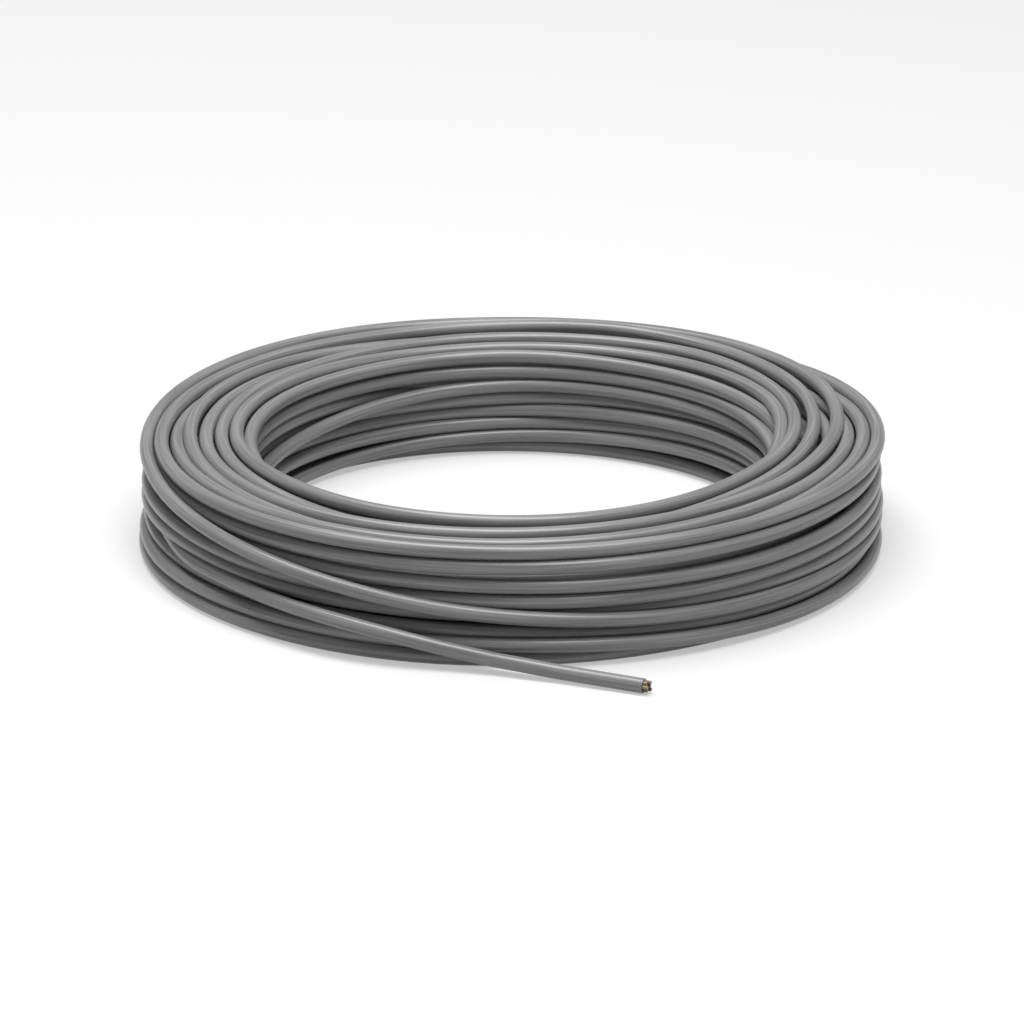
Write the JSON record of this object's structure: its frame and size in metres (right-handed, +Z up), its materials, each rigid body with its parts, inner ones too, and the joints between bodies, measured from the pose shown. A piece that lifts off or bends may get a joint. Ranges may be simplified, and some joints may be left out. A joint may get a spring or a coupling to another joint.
{
  "type": "coil of telephone cable",
  "caption": "Loose round coil of thin round grey telephone cable lying flat, with one cut end out at the front that shows its cores.",
  "frame": {"origin": "on the coil's axis, at the surface that the coil lies on", "axes": "+Z up along the coil's axis; -Y towards the side where the cut end comes out; +X to the right of someone who looks from there"},
  "size_m": [0.1908, 0.2086, 0.0297],
  "materials": {
    "sheath": "satin grey soft PVC, drawn smooth",
    "insulation_brown": "brown coloured core insulation",
    "insulation_tan": "tan coloured core insulation",
    "insulation_light_brown": "light brown coloured core insulation",
    "insulation_dark_olive": "dark olive coloured core insulation",
    "insulation_olive": "olive coloured core insulation",
    "insulation_ochre": "ochre coloured core insulation",
    "bare_copper": "bare drawn copper, cut square"
  },
  "bodies": {
    "root": {"sheath_coil": "sheath", "sheath_free_end": "sheath", "insulation_brown": "insulation_brown", "insulation_tan": "insulation_tan", "insulation_light_brown": "insulation_light_brown", "insulation_dark_olive": "insulation_dark_olive", "insulation_olive": "insulation_olive", "insulation_ochre": "insulation_ochre", "conductor_brown": "bare_copper", "conductor_tan": "bare_copper", "conductor_light_brown": "bare_copper", "conductor_dark_olive": "bare_copper", "conductor_olive": "bare_copper", "conductor_ochre": "bare_copper"}
  },
  "joints": []
}
